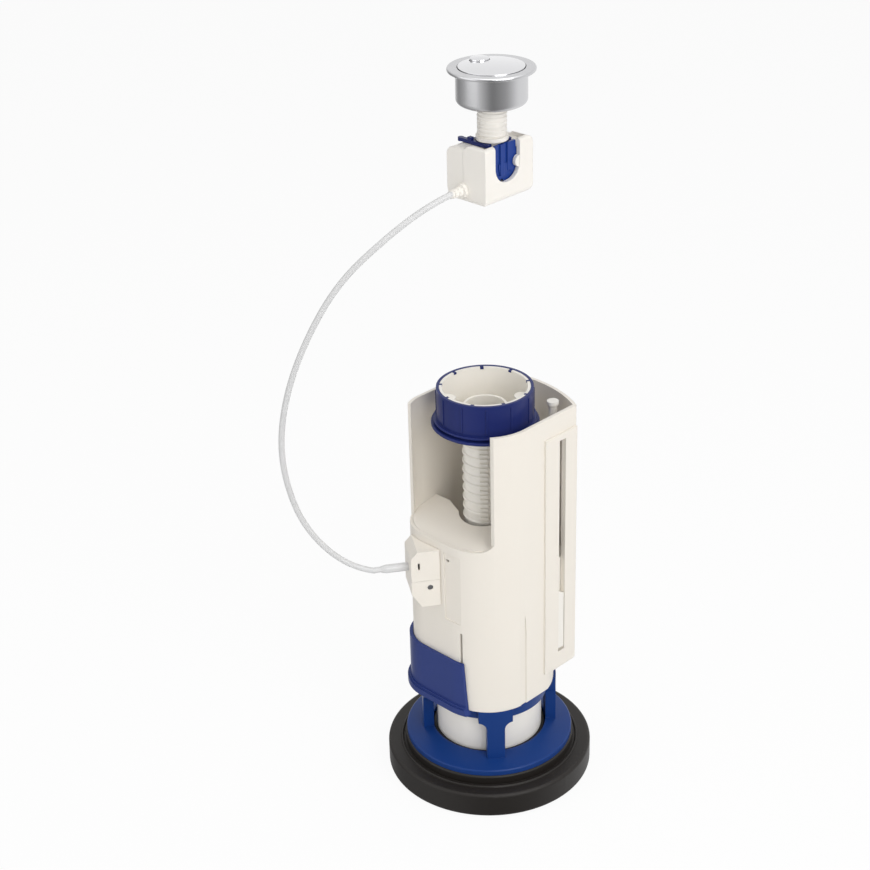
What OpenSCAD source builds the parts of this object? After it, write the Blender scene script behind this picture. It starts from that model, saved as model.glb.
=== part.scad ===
// Dual-flush cistern valve worked by a cable: a tower with its outlet valve, and the push button unit
// that pulls it. Frame: origin at the middle of the base seal's underside, +Z up along the outlet's axis,
// the tower's open front at -Y.

/* [Base] */
// Outer radius of the base seal
seal_r = 64; // [60:0.5:68]
// Height of the base seal's rim
seal_h = 16; // [12:0.5:20]
// Height of the seal's inner step above its rim
seal_step = 6; // [4:0.5:8]
// Radius of the outlet bore
outlet_r = 31; // [28:0.25:31.5]
// Outer radius of the cage's ring
ring_r = 52; // [48:0.5:56]
// Thickness of the cage's ring at its edge
ring_t = 3.5; // [2.5:0.25:5]
// Rise of the ring from its edge to its inner lip
ring_dish = 3; // [2:0.25:5]

/* [Cage] */
// Number of posts between the ring and the collar
post_n = 4; // [3:1:5]
// Direction of the first post
post_angle = -41; // [-60:1:-30]
// Width of a post
post_w = 11; // [8:0.5:14]
// Radial depth of a post
post_d = 6.5; // [5:0.25:9]
// Clear height of the windows between the posts
window_h = 24.5; // [22:0.5:32]
// Height of the collar
collar_h = 13; // [12:0.5:18]
// Radius of the fillets at a post's head
gusset_r = 5; // [3:0.5:7]

/* [Tower] */
// Width of the tower across its side walls
tower_w = 77.5; // [77:0.5:84]
// Distance from the axis to the front wall
tower_front = 39; // [38.5:0.5:44]
// Distance from the axis to the middle of the back wall
tower_back = 46.5; // [44:0.5:52]
// Distance from the axis to the back corners
corner_back = 36; // [34:0.5:40]
// Radius of the front left corner
corner_left_r = 22; // [18:0.5:28]
// Radius of the front right corner
corner_right_r = 31; // [26:0.5:34]
// Wall thickness of the tower
tower_wall = 2; // [1.6:0.1:2.4]
// Height of the tower from skirt to rim
tower_h = 187; // [180:1:200]
// Height of the front opening's sill above the skirt
sill_h = 112; // [110:1:118]
// Distance from the axis to the plane that cuts the front opening
cut_front = 27.5; // [24:0.5:32]
// Radius of the front opening's lower corner
cut_r = 10; // [5:0.5:14]

/* [Float rail] */
// Thickness of the rail panel on the right wall
rail_t = 1.4; // [0.8:0.1:2]
// Width of the slot in the rail panel
slot_w = 5.5; // [4.5:0.25:7]
// Length of the slot in the rail panel
slot_l = 146; // [130:1:150]
// Radius of the float's guide rod
rod_r = 2.5; // [2:0.1:3]
// Height of the float
float_h = 34; // [26:1:40]

/* [Volume slide] */
// Height of the blue slide on the tower's front
slide_h = 35.5; // [30:0.5:40]
// Travel of the slide
slide_travel = 24; // [16:1:26]
// Thickness of the slide
slide_t = 2.2; // [1.6:0.1:3]

/* [Outlet valve] */
// Outer radius of the valve bell
bell_r = 33; // [32.5:0.1:33.3]
// Height of the valve bell
bell_h = 65; // [56:1:68]
// Lift of the valve
valve_lift = 20; // [16:0.5:22]
// Outer radius of the overflow tube
tube_r = 13; // [11.5:0.25:13.5]
// Wall thickness of the overflow tube
tube_wall = 1.5; // [1.2:0.1:2]
// Spacing of the ribs on the overflow tube
rib_pitch = 6; // [4:0.5:9]
// Radius of the collar that the crank lifts
lift_r = 26; // [25:0.25:27]

/* [Overflow cap] */
// Outer radius of the overflow cap
cap_r = 28.3; // [27.5:0.1:30]
// Height of the overflow cap
cap_h = 23.4; // [18:0.2:28]
// Height of the cap's rim above the tower's rim
cap_rise = 13; // [8:0.5:18]
// Radius of the cap's flange
cap_flange_r = 31.7; // [30.5:0.1:33]
// Number of ribs round the cap
cap_rib_n = 12; // [8:1:18]
// Number of snap tabs over the liner's rim
cap_tab_n = 9; // [6:1:12]

/* [Crank] */
// Direction in which the cable leaves the tower
lever_angle = -125; // [-135:1:-115]
// Distance of the crank's plane from the axis
lever_side = 11; // [10:0.25:12]
// Distance of the crank's pivot from the axis, along the cable
crank_u = 39; // [38:0.25:39.5]
// Length of the crank's lifting finger
finger_l = 21; // [20:0.25:22]
// Length of the crank's cable arm
crank_arm = 10; // [9:0.25:10.5]
// Height of the cable above the tower's skirt
cable_rise = 91.5; // [90:0.5:92]
// Width of the cable housing
housing_w = 21.7; // [20:0.1:24]

/* [Cable] */
// Diameter of the cable's sheath
sheath_d = 3.5; // [2.5:0.1:4]
// Length of the ferrule outside the housing
ferrule_l = 16.3; // [10:0.1:16.3]

/* [Push button] */
// Height of the button's flange above the seal's underside
button_z = 450; // [450:1:460]
// Radius of the button's flange
flange_r = 24; // [22:0.25:27]
// Radius of the cup that fits the lid's hole
cup_r = 19.5; // [19:0.1:20.5]
// Height of the cup and flange
cup_h = 20; // [19:0.5:22]
// Wall thickness of the cup
cup_wall = 1; // [0.8:0.1:1.4]
// Radius of the half-flush button
half_r = 5.3; // [4.5:0.1:5.6]
// Outer radius of the threaded stem
stem_r = 7.6; // [7.4:0.1:8]

/* [Actuator] */
// Length of the actuator case
case_l = 38; // [37.5:0.5:44]
// Width of the actuator case
case_w = 28.5; // [28.5:0.5:33]
// Height of the actuator case
case_h = 32.5; // [32.5:0.5:36]
// Full swing of the main rocker, in degrees
rocker_swing = 40; // [36:1:40]
// Length of the rockers' pad arms, from pivot to push rod
pad_l = 8.6; // [8:0.1:8.8]

/* [Hidden] */
$fn = 72;

// Clearances: between moving pieces, in a running fit, and between pieces that are only fitted together
gap = 0.35;
running = 0.05;
fitted = 0.1;
// How far a cutting shape runs past the face it cuts
past = 1;

// Colours of the mouldings and metals
WHITE = "#e9e3da";
PALE = "#f1ece2";
BASE_BLUE = "#1d4fa0";
CAP_BLUE = "#26367f";
RUBBER = "#1c1815";
STEEL = "#b4b4b4";
BRASS = "#b89a55";
SHEATH = "#e6e6e6";

// Levels of the base and cage
ring_z = seal_h + seal_step;
ring_top = ring_z + ring_t;
lip_z = ring_top + ring_dish;
seat_z = ring_z + 2;
washer_t = 3;
collar_z = lip_z + window_h;
collar_in = bell_r + 1.3;
collar_r = collar_in + 2;
lip_r = bell_r + 2.6;
spigot_z = 2;
spigot_r = outlet_r + 5;
throat_r = outlet_r + 1;
post_r = lip_r + post_d;

// Levels and outline of the tower
skirt_z = collar_z + collar_h - 4;
floor_t = 2;
shelf_z = skirt_z + 11;
sill_z = skirt_z + sill_h;
rim_z = skirt_z + tower_h;
half_w = tower_w / 2;
skirt_r = half_w + 1.75;
back_bow = tower_back - corner_back;
back_r = (half_w * half_w + back_bow * back_bow) / (2 * back_bow);
roof_t = 2.5;
roof_back = -5.4;
roof_rise = 5;
roof_hole_r = tube_r + 3.5;
roof_flare = roof_hole_r + 11;
ledge_w = 2.5;

// Place of the rail panel, its slot, and the float behind it
rail_y0 = 8;
rail_y1 = corner_back - 0.5;
rail_z0 = shelf_z + 2;
rail_z1 = rim_z - 13;
slot_y = 22.75;
slot_z1 = rim_z - 17;
slot_z0 = slot_z1 - slot_l;
rod_x = half_w - 13.75;
rod_y = corner_back - 5;
bracket_z = slot_z1 - 4;
bracket_t = 4;
pointer_l = 43;
strip_z = max(slot_z0, shelf_z + floor_t) + 2;
float_z = strip_z + 28;
float_x0 = rod_x - 6;
float_x1 = half_w - tower_wall - 2.75;
float_y0 = rod_y - 8.5;
float_y1 = rod_y + 4.5;

// The volume slide and the slots that guide it
slide_z = skirt_z - 2;
slide_lip = 2;
slide_lip_h = 5.5;
slide_right = 16;
slide_flare = 4;
slide_left = -9;
guide_w = 1.6;
guide_x = 14;
guide_y = -16;
guide_z = slide_z + 8;
guide_head = 1;
tongue_w = guide_w - 0.6;
tongue_l = 22;

// The outlet valve and the overflow
washer_r = bell_r + 2.2;
neck_r = bell_r - 6;
bell_z = seat_z + washer_t;
bell_top = bell_z + bell_h;
bell_wall = 1.8;
dome_r = 8;
tube_z = ring_z;
cap_z1 = rim_z + cap_rise;
cap_z0 = cap_z1 - cap_h;
tube_top = cap_z1 - 12;
rib_r = 1;
rack_angle = -52;
catch_w = 5;
cap_wall = 1.7;
liner_r = cap_r - cap_wall - fitted;
liner_wall = 1.6;
liner_z = cap_z0 - 1.6;
boss_r = 5;

// The crank: half its swing lifts the finger by half the valve's lift on each side of level
crank_half = asin(valve_lift / 2 / finger_l);
cable_z = skirt_z + cable_rise;
crank_z = cable_z - crank_arm * cos(crank_half / 2);
finger_tip_r = 3;
crank_t = 8;
crank_hub_r = 4.5;
pin_r = 1.6;
lift_z = crank_z - valve_lift / 2 + finger_tip_r + gap;
lift_t = 3.5;
nipple_r = 2.2;
nipple_l = 6;
wire_r = 0.8;

// The cable housing, drawn along the cable (u) and across it (v)
housing_u0 = 33;
housing_u1 = 50.2;
housing_v0 = lever_side - housing_w / 2;
housing_v1 = lever_side + housing_w / 2;
housing_wall = 2;
housing_z0 = crank_z - 13;
housing_z1 = cable_z + 15;
cover_z = cable_z - 5;
ferrule_r = 2.6;

// The push button unit stands over the tower, a little to its back right
button_x = 4;
button_y = 4;
flange_t = 2;
cup_z = button_z - cup_h;
cup_in = cup_r - cup_wall;
guide_top = cup_z + 3.5;
plate_r = cup_in - 0.4;
plate_top = button_z + 1.4;
plate_z = button_z - 1.4;
skirt_bottom = button_z - 5.5;
plate_dome = 160;
half_dome = 40;
half_x = -11.2;
half_y = 2.7;
half_top = plate_top + 0.9;
arm_z = cup_z + 8.5;
arm_t = 2.5;
push_r = 2;
push_x = 3.4;
stem_in = stem_r - 1.6;
spring_r = 3.5;
spring_wire = 0.5;
spring_x = 8;
spring_y = 9.5;

// The actuator case, under the cup
case_z1 = cup_z - 19.5;
case_z0 = case_z1 - case_h;
case_x0 = -16;
case_x1 = case_x0 + case_w;
case_wall = 2.5;
case_back_wall = 1.8;
deck_z = case_z1 - 3;
deck_t = 1.8;
split_x = -4;
gland_z = case_z0 + 7;
gland_r = 4;
gland_neck_r = 3.2;
gland_step_r = 2.8;
gland_l = 5.5;
gland_tip = [button_x + split_x, button_y - case_l / 2 - gland_l, gland_z];
rocker_half = rocker_swing / 2;
wire_travel = 2 * crank_arm * sin(crank_half);
rocker_arm = wire_travel / 2 / sin(rocker_half);
pivot_y = pad_l;
pivot_z = gland_z + rocker_arm * cos(rocker_half);
pad_t = 3;
rocker_hub_r = 4;
rocker_disc_r = 7;
rocker_pin_r = 1.5;
quadrant_r = 20;
window_y0 = -11;
window_y1 = 8.5;
rod_tip_z = pivot_z + pad_l * tan(rocker_half) + (pad_t + push_r) / cos(rocker_half) - push_r + gap;
stem_z = deck_z - deck_t;
stem_groove = 0.9;
stem_collar = 1.4;
stem_collar_t = 2.2;
clip_z = deck_z + gap;
clip_t = 2;

// Route of the cable's sheath, from the gland on the case to the ferrule on the tower
route = concat(
    [for (out = [0, 3, 7.5]) gland_tip - [0, out, 0]],
    [[-7, -40, 379], [-13, -51, 371], [-18, -59, 364], [-24, -66, 356], [-31, -73, 347], [-39, -81, 333],
    [-45, -88, 317], [-51, -94, 300], [-56, -99, 282], [-60, -102, 263], [-61, -104, 248], [-62, -104, 233],
    [-61, -102, 217], [-60, -99, 203], [-57, -95, 188], [-51, -88, 174], [-45, -80, 163], [-39, -72, 156]],
    [for (out = [6, 3, 0]) lever_point(housing_u1 + ferrule_l + out)]);
sheath_sides = 8;
sheath_steps = 2;

// A place on the cable's line at the tower, at distance u from the axis
function lever_point(u) = [
    u * cos(lever_angle) - lever_side * sin(lever_angle),
    u * sin(lever_angle) + lever_side * cos(lever_angle),
    cable_z];

// The inside of the tower's front wall, on its flat and on the round of its right corner
function front_inside(x) = let (round = max(x - half_w + corner_right_r, 0))
    -tower_front + corner_right_r - sqrt(pow(corner_right_r - tower_wall, 2) - round * round);

// Curves and swept tubes
function unit(v) = v / norm(v);
function spline_point(p, i, t) = let (
    a = p[max(i - 1, 0)],
    b = p[i],
    c = p[i + 1],
    d = p[min(i + 2, len(p) - 1)])
    0.5 * (2 * b + (c - a) * t + (2 * a - 5 * b + 4 * c - d) * t * t + (3 * b - a - 3 * c + d) * t * t * t);
function smooth_path(p, steps) = concat(
    [for (i = [0:len(p) - 2], k = [0:steps - 1]) spline_point(p, i, k / steps)],
    [p[len(p) - 1]]);
function tangent(path, i) = unit(path[min(i + 1, len(path) - 1)] - path[max(i - 1, 0)]);
function tube_ring(path, i, r, sides, side_on) = let (
    t = tangent(path, i),
    a = unit(cross(side_on, t)),
    b = cross(t, a))
    [for (k = [0:sides - 1]) path[i] + r * (cos(360 * k / sides) * a + sin(360 * k / sides) * b)];
function coil_path(x, y, z0, z1, r, turns) = let (steps = 12 * turns)
    [for (i = [0:steps]) [
        x + r * cos(360 * i / 12),
        y + r * sin(360 * i / 12),
        z0 + (z1 - z0) * i / steps]];

module swept_tube(path, r, sides, side_on) {
    n = len(path);
    points = [for (i = [0:n - 1]) each tube_ring(path, i, r, sides, side_on)];
    walls = [for (i = [0:n - 2], k = [0:sides - 1]) let (
        a = i * sides + k,
        b = i * sides + (k + 1) % sides)
        each [[a, b, b + sides], [a, b + sides, a + sides]]];
    first = [for (k = [0:sides - 1]) sides - 1 - k];
    last = [for (k = [0:sides - 1]) (n - 1) * sides + k];
    polyhedron(points = points, faces = concat([first], walls, [last]), convexity = 6);
}

// Drawings extruded along an axis
module along_x(x0, x1) {
    translate([x0, 0, 0]) rotate([90, 0, 90]) linear_extrude(x1 - x0) children();
}
module along_y(y0, y1) {
    translate([0, y1, 0]) rotate([90, 0, 0]) linear_extrude(y1 - y0) children();
}
module along_z(z0, z1) {
    translate([0, 0, z0]) linear_extrude(z1 - z0) children();
}
module bar_x(x0, x1, y, z, r) {
    translate([x0, y, z]) rotate([0, 90, 0]) cylinder(r = r, h = x1 - x0);
}
module bar_y(y0, y1, x, z, r) {
    translate([x, y1, z]) rotate([90, 0, 0]) cylinder(r = r, h = y1 - y0);
}
module pipe(r_in, r_out, z0, z1) {
    difference() {
        translate([0, 0, z0]) cylinder(r = r_out, h = z1 - z0);
        translate([0, 0, z0 - past]) cylinder(r = r_in, h = z1 - z0 + 2 * past);
    }
}

// A rectangle with its own radius at each corner: bottom left, bottom right, top right, top left
module soft_rect(x0, y0, x1, y1, bl, br, tr, tl) {
    polygon([[x0 + bl, y0], [x1 - br, y0], [x1, y0 + br], [x1, y1 - tr], [x1 - tr, y1], [x0 + tl, y1],
        [x0, y1 - tl], [x0, y0 + bl]]);
    corners = [[x0 + bl, y0 + bl, bl], [x1 - br, y0 + br, br],
        [x1 - tr, y1 - tr, tr], [x0 + tl, y1 - tl, tl]];
    for (c = corners) {
        if (c[2] > 0) translate([c[0], c[1]]) circle(r = c[2]);
    }
}

// Outline of the tower, drawn in by inset: straight sides, two front corners of their own, and a bowed back
module tower_section(inset = 0) {
    side = half_w - inset;
    front = -tower_front + inset;
    left = [-half_w + corner_left_r, -tower_front + corner_left_r];
    right = [half_w - corner_right_r, -tower_front + corner_right_r];
    intersection() {
        union() {
            translate(left) circle(r = corner_left_r - inset);
            translate(right) circle(r = corner_right_r - inset);
            polygon([[left[0], front], [right[0], front], right, [side, right[1]], [side, tower_back],
                [-side, tower_back], [-side, left[1]], left]);
        }
        translate([0, tower_back - back_r]) circle(r = back_r - inset, $fn = 144);
    }
}

// What is cut away under the tower's shelf, so that the skirt has a round back
module skirt_undercut(inset, top) {
    difference() {
        translate([-tower_w, 0, skirt_z - past]) cube([2 * tower_w, tower_w, top - skirt_z + past]);
        translate([0, 0, skirt_z - 2 * past])
            cylinder(r = skirt_r - inset, h = top - skirt_z + 4 * past, $fn = 144);
    }
}

// The roof's sloping slice of the tower, from its own underside down or up
module roof_slice(below, above) {
    slope = roof_rise / (tower_front - tower_wall + roof_back);
    front = -tower_front - past;
    drop = roof_rise - slope * (roof_back - front);
    top = sill_z + above;
    bottom = sill_z - below;
    along_x(-half_w, half_w) polygon([[front, bottom + drop], [roof_back, bottom + roof_rise],
        [roof_back, top + roof_rise], [front, top + drop]]);
}

// Pieces near the crank are drawn along the cable and turned to its direction
module at_lever() {
    rotate([0, 0, lever_angle]) children();
}
module housing_outline(spare = 0) {
    polygon([[housing_u0 - spare, housing_z0 - spare], [housing_u1 - 6, housing_z0 - spare],
        [housing_u1 + spare, housing_z0 + 9], [housing_u1 + spare, housing_z1 - 4.5],
        [housing_u1 - 4, housing_z1 + spare], [housing_u0 - spare, housing_z1 + spare]]);
}

// Pieces of the push button unit are drawn about the button's own axis
module at_button() {
    translate([button_x, button_y, 0]) children();
}

// Base and cage
module base_seal() {
    inner = spigot_r + fitted;
    step_r = ring_r + 1;
    color(RUBBER) rotate_extrude($fn = 144) {
        soft_rect(inner, 0, seal_r, seal_h, 0, 2, 2, 0);
        soft_rect(inner, 0, step_r, ring_z, 0, 0, 1.2, 0);
        translate([step_r + 2.2, seal_h]) circle(r = 0.9);
    }
}

module cage_post() {
    side = post_w / 2;
    reach = side + gusset_r;
    foot = ring_top - 1;
    intersection() {
        pipe(lip_r + fitted, post_r, foot, skirt_z);
        along_x(0, post_r + past) difference() {
            translate([-reach, foot]) square([2 * reach, skirt_z - foot]);
            soft_rect(side, foot - past, reach + past, collar_z + gap, 0, 0, 0, gusset_r);
            soft_rect(-reach - past, foot - past, -side, collar_z + gap, 0, 0, gusset_r, 0);
        }
    }
}

module cage() {
    hook_z = skirt_z + floor_t + gap;
    hook_w = 7;
    color(BASE_BLUE) {
        rotate_extrude($fn = 144) polygon([[outlet_r, spigot_z], [spigot_r, spigot_z], [spigot_r, ring_z],
            [ring_r, ring_z], [ring_r, ring_top - 0.6], [ring_r - 0.6, ring_top], [lip_r + 1, lip_z],
            [lip_r, lip_z], [lip_r, ring_z + 0.6], [throat_r + 2.5, ring_z + 0.6], [throat_r + 2.5, seat_z],
            [throat_r, seat_z], [throat_r, seal_h + 2], [outlet_r, seal_h]]);
        pipe(collar_in, collar_r, collar_z, collar_z + collar_h);
        for (i = [0:post_n - 1]) rotate([0, 0, post_angle + 360 * i / post_n]) cage_post();
        for (i = [0:3]) rotate([0, 0, post_angle + 90 * i])
            translate([collar_r - 1, -hook_w / 2, hook_z])
                cube([2.4, hook_w, collar_z + collar_h - hook_z - fitted]);
    }
}

// Tower
module shroud_shell() {
    difference() {
        union() {
            along_z(skirt_z, rim_z) tower_section();
            translate([half_w - tower_wall / 2, rail_y0, rail_z0])
                cube([rail_t + tower_wall / 2, rail_y1 - rail_y0, rail_z1 - rail_z0]);
        }
        skirt_undercut(0, shelf_z);
        difference() {
            along_z(skirt_z + floor_t, rim_z + past) tower_section(tower_wall);
            skirt_undercut(tower_wall, shelf_z + floor_t);
        }
        translate([0, 0, skirt_z - past]) cylinder(r = collar_r + fitted * 2, h = floor_t + 2 * past);
    }
}

module front_opening() {
    middle = half_w - corner_right_r;
    right = middle + sqrt(pow(corner_right_r, 2) - pow(tower_front - corner_right_r - cut_front, 2)) + past;
    along_y(-tower_front - past, -cut_front)
        soft_rect(-half_w - past, sill_z, right, rim_z + past, 0, cut_r, 0, 0);
}

module slide_guides() {
    top = guide_z + tongue_l + slide_travel + 2;
    translate([guide_x - guide_w / 2, -tower_front - past, guide_z - 2])
        cube([guide_w, tower_wall + 2 * past, top - guide_z + 2]);
    translate([-half_w - past, guide_y - guide_w / 2, guide_z - 2])
        cube([tower_wall + 2 * past, guide_w, top - guide_z + 2]);
}

module front_pocket() {
    depth = 0.7;
    left = 1.5;
    bottom = skirt_z + 60;
    top = sill_z - 6;
    translate([left, -tower_front - past, bottom]) cube([tower_w / 4, depth + past, top - bottom]);
    along_y(-tower_front - past, -tower_front + tower_wall + past) for (x = [left + 2, left + 3.2])
        translate([x, top - 5]) circle(r = 0.8, $fn = 24);
}

module shroud() {
    groove_w = 4.5;
    groove_h = 53;
    color(WHITE) {
        difference() {
            shroud_shell();
            front_opening();
            front_pocket();
            slide_guides();
            translate([half_w - tower_wall - past, slot_y - slot_w / 2, slot_z0])
                cube([tower_wall + rail_t + 2 * past, slot_w, slot_l]);
            at_lever() along_y(housing_v0 - fitted, housing_v1 + fitted) housing_outline(fitted);
            translate([half_w - 0.7, -12.2, skirt_z - past]) along_x(0, 3)
                polygon([[0, 0], [groove_w, 0], [groove_w, groove_h], [groove_w - 1, groove_h + 12],
                    [groove_w - 2, groove_h], [0, groove_h]]);
        }
        intersection() {
            roof_slice(roof_t + ledge_w, -roof_t);
            difference() {
                along_z(shelf_z, rim_z) tower_section(tower_wall / 2);
                along_z(shelf_z - past, rim_z + past) tower_section(tower_wall + ledge_w);
            }
        }
        difference() {
            intersection() {
                along_z(bracket_z, bracket_z + bracket_t) tower_section(tower_wall / 2);
                translate([rod_x - 5, rod_y - 5, bracket_z - past])
                    cube([10, tower_back, bracket_t + 2 * past]);
            }
            translate([rod_x, rod_y, bracket_z - past])
                cylinder(r = rod_r + fitted, h = bracket_t + 2 * past);
        }
    }
}

module chamber_roof() {
    color(WHITE) difference() {
        union() {
            intersection() {
                roof_slice(roof_t, 0);
                along_z(shelf_z, rim_z) tower_section(tower_wall + fitted);
            }
            intersection() {
                translate([-half_w, roof_back - 2, sill_z + roof_rise - 9]) cube([tower_w, 2, 8]);
                along_z(shelf_z, rim_z) tower_section(tower_wall + ledge_w + fitted);
            }
        }
        translate([0, 0, sill_z - 20]) cylinder(r = roof_hole_r, h = 40);
        along_z(sill_z - 20, sill_z + 20) polygon([[-roof_flare, roof_back + past],
            [-roof_hole_r * 0.5, -roof_hole_r * 0.75], [roof_hole_r * 0.5, -roof_hole_r * 0.75],
            [roof_flare, roof_back + past]]);
    }
}

// Half-flush float on its rod, with the pointer that shows in the rail's slot
module float_rod() {
    color(PALE) translate([rod_x, rod_y, 0]) {
        translate([0, 0, shelf_z + floor_t]) cylinder(r = rod_r, h = rim_z - 3 - shelf_z - floor_t);
        translate([0, 0, rim_z - 3.5]) cylinder(r1 = rod_r, r2 = rod_r + 1, h = 1.5);
        translate([0, 0, rim_z - 2]) cylinder(r = rod_r + 1, h = 2);
    }
}

module half_float() {
    color(PALE) difference() {
        along_z(float_z, float_z + float_h) soft_rect(float_x0, float_y0, float_x1, float_y1, 2, 2, 2, 2);
        translate([rod_x, rod_y, float_z - past]) cylinder(r = rod_r + gap, h = float_h + 2 * past);
    }
}

module float_pointer() {
    inside = half_w - tower_wall - gap;
    outside = half_w + rail_t - 0.4;
    color(PALE) {
        difference() {
            translate([inside - past, slot_y - slot_w / 2 + gap, strip_z])
                cube([outside - inside + past, slot_w - 2 * gap, pointer_l]);
            translate([inside - 2, slot_y - slot_w, strip_z + pointer_l]) rotate([-30, 0, 0])
                cube([rail_t + tower_wall + 4, 2 * slot_w, 8]);
        }
        translate([float_x1, slot_y - 5.7, strip_z])
            cube([inside - float_x1, 11.5, float_z + float_h - strip_z]);
    }
}

// Blue slide that sets the flush volume
module slide_shell(thick, z0, z1) {
    along_z(z0, z1) difference() {
        tower_section(-gap - thick);
        tower_section(-gap);
    }
}

module volume_slide() {
    z1 = slide_z + slide_h;
    lip_top = slide_z + slide_lip_h;
    flank = -tower_front - past;
    head_y = front_inside(guide_x + guide_w) + gap;
    color(BASE_BLUE) {
        intersection() {
            union() {
                slide_shell(slide_t, slide_z, z1);
                slide_shell(slide_t + slide_lip, slide_z, lip_top - 1.5);
                slide_shell(slide_t + slide_lip / 2, slide_z, lip_top);
            }
            along_y(-tower_front - 10, slide_left) polygon([[-half_w - 10, slide_z],
                [slide_right + slide_flare, slide_z], [slide_right + slide_flare * 0.6, slide_z + 3],
                [slide_right, z1], [-half_w - 10, z1]]);
            translate([-half_w - 10, -tower_front - 10, slide_z - past])
                cube([tower_w, tower_front + 10 + slide_left, slide_h + 2 * past]);
        }
        translate([guide_x - tongue_w / 2, flank, guide_z])
            cube([tongue_w, head_y - flank + guide_head / 2, tongue_l]);
        translate([guide_x - guide_w, head_y, guide_z]) cube([2 * guide_w, guide_head, tongue_l]);
        translate([-half_w - past, guide_y - tongue_w / 2, guide_z])
            cube([tower_wall + past + gap + guide_head / 2, tongue_w, tongue_l]);
        translate([-half_w + tower_wall + gap, guide_y - guide_w, guide_z])
            cube([guide_head, 2 * guide_w, tongue_l]);
    }
}

// Outlet valve
module valve_bell() {
    hub_r = tube_r + 3.5;
    shoulder = bell_top - bell_wall;
    color(PALE) rotate_extrude($fn = 120) difference() {
        union() {
            soft_rect(tube_r + running, bell_z, bell_r, bell_top, 0, 0, dome_r, 0);
            translate([tube_r + running, bell_top - 1]) square([hub_r - tube_r - running, 7]);
        }
        soft_rect(hub_r, bell_z + 2, bell_r - bell_wall, shoulder, 0, 0, dome_r - bell_wall, 0);
        translate([0, bell_z - past]) square([neck_r + fitted, 2 * past + 2]);
        translate([0, bell_z - past]) square([hub_r + past, shoulder - bell_z - 14]);
    }
}

module bell_washer() {
    color(RUBBER) rotate_extrude($fn = 120)
        soft_rect(neck_r + fitted, seat_z, washer_r, bell_z, 0, 0.7, 0.7, 0);
}

module washer_retainer() {
    spoke_w = 2.4;
    hub_r = tube_r + 2.5;
    hub_top = bell_z + 4;
    foot = ring_z - 0.6;
    neck_t = 1.6;
    color(PALE) {
        rotate_extrude($fn = 120) {
            translate([neck_r - neck_t, foot]) square([outlet_r - 0.6 - neck_r + neck_t, seat_z - foot]);
            translate([neck_r - neck_t, foot]) square([neck_t, hub_top - foot]);
        }
        difference() {
            union() {
                pipe(tube_r + running, hub_r, foot, hub_top);
                for (i = [0:3]) rotate([0, 0, 45 + 90 * i]) translate([0, -spoke_w / 2, foot])
                    cube([neck_r - 0.8, spoke_w, 6]);
            }
            translate([0, 0, ring_z - past]) cylinder(r = tube_r + running, h = hub_top);
        }
    }
}

module overflow_tube() {
    rack_w = 5;
    rib_z0 = sill_z + 4;
    rib_z1 = liner_z - 2;
    color(PALE) {
        pipe(tube_r - tube_wall, tube_r, tube_z, tube_top);
        difference() {
            rotate_extrude($fn = 96) for (z = [rib_z0:rib_pitch:rib_z1])
                translate([tube_r - 0.1, z]) circle(r = rib_r, $fn = 24);
            rotate([0, 0, rack_angle + 180]) translate([0, -catch_w / 2 - gap, rib_z0 - rib_pitch])
                cube([2 * tube_r, catch_w + 2 * gap, tube_top]);
        }
        rotate([0, 0, rack_angle]) for (z = [rib_z0:rib_pitch / 2:rib_z1])
            translate([tube_r - 0.8, -rack_w / 2, z - 0.8]) cube([rib_r + 0.8, rack_w, 1.6]);
    }
}

module lift_collar() {
    color(PALE) rotate_extrude($fn = 96) {
        translate([tube_r + running, lift_z]) square([lift_r - tube_r - running, lift_t]);
        translate([tube_r + running, lift_z]) square([4, lift_t + 6]);
    }
}

// Overflow head: blue cap with a white liner, which slides on the tube to set the overflow height
module overflow_cap() {
    inner = cap_r - cap_wall;
    tab_w = 2;
    color(CAP_BLUE) {
        rotate_extrude($fn = 120) {
            translate([inner, cap_z0]) square([cap_wall, cap_h]);
            soft_rect(inner, cap_z0, cap_flange_r, cap_z0 + 1.8, 0, 0.6, 0.6, 0);
            soft_rect(inner, cap_z0 + 3, cap_flange_r - 1.4, cap_z0 + 4.4, 0, 0.5, 0.5, 0);
        }
        for (i = [0:cap_rib_n - 1]) rotate([0, 0, 360 * (i + 0.5) / cap_rib_n])
            translate([cap_r - 0.8, -0.6, cap_z0 + 6]) cube([1.2, 1.2, cap_h - 8]);
        for (i = [0:cap_tab_n - 1]) rotate([0, 0, -103 + 360 * i / cap_tab_n])
            translate([liner_r - liner_wall, -tab_w / 2, cap_z1 - 1.4])
                cube([liner_wall + 0.9, tab_w, 1.2]);
    }
}

module cap_liner() {
    inner = liner_r - liner_wall;
    hub_in = tube_r + rib_r + gap;
    tab_w = 2 + 2 * fitted;
    color(PALE) difference() {
        union() {
            rotate_extrude($fn = 120) {
                translate([inner, liner_z]) square([liner_wall, cap_z1 - liner_z - fitted]);
                translate([hub_in, liner_z]) square([liner_r - hub_in, 2]);
                translate([hub_in, liner_z]) square([2, 9]);
            }
            difference() {
                rotate([0, 0, rack_angle + 180]) translate([0, -catch_w / 2, liner_z])
                    cube([hub_in + 1, catch_w, 9]);
                translate([0, 0, liner_z - past]) cylinder(r = tube_r + running, h = 12);
            }
            intersection() {
                translate([0, 0, liner_z]) cylinder(r = inner + 0.5, h = 18);
                for (a = [-135, 45]) rotate([0, 0, a]) translate([inner - 3, 0, liner_z])
                    cylinder(r = boss_r, h = 18);
            }
        }
        for (i = [0:cap_tab_n - 1]) rotate([0, 0, -103 + 360 * i / cap_tab_n])
            translate([inner - past, -tab_w / 2, cap_z1 - 1.4 - fitted])
                cube([liner_wall + 2 * past, tab_w, 3]);
    }
}

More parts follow.
